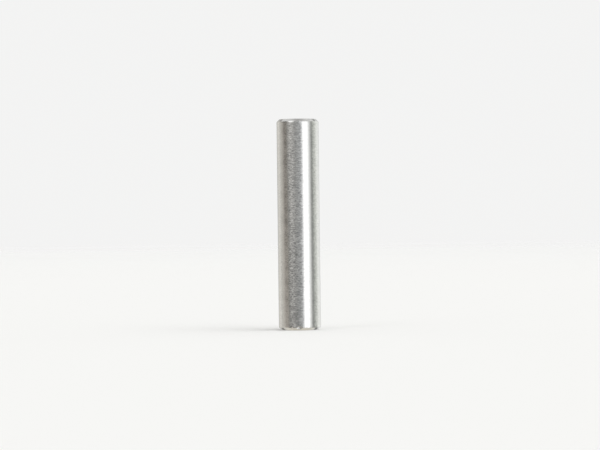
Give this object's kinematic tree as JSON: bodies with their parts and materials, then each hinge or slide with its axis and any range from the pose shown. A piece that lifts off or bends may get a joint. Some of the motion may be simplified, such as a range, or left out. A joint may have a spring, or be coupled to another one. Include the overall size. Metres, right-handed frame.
{
  "type": "cross pin",
  "caption": "Solid ground steel cross pin: a plain round shank with flat, chamfered ends, pushed through a cross-drilled hole to join or locate parts.",
  "frame": {"origin": "centre of the end face that the pin stands on", "axes": "+Z along the pin's axis, from the lower end to the upper end; X and Y are alike, because the pin is round"},
  "size_m": [0.004, 0.004, 0.02],
  "materials": {
    "ground_steel": "ground bright, with fine lines round the pin"
  },
  "bodies": {
    "root": {"cross_pin": "ground_steel"}
  },
  "joints": []
}
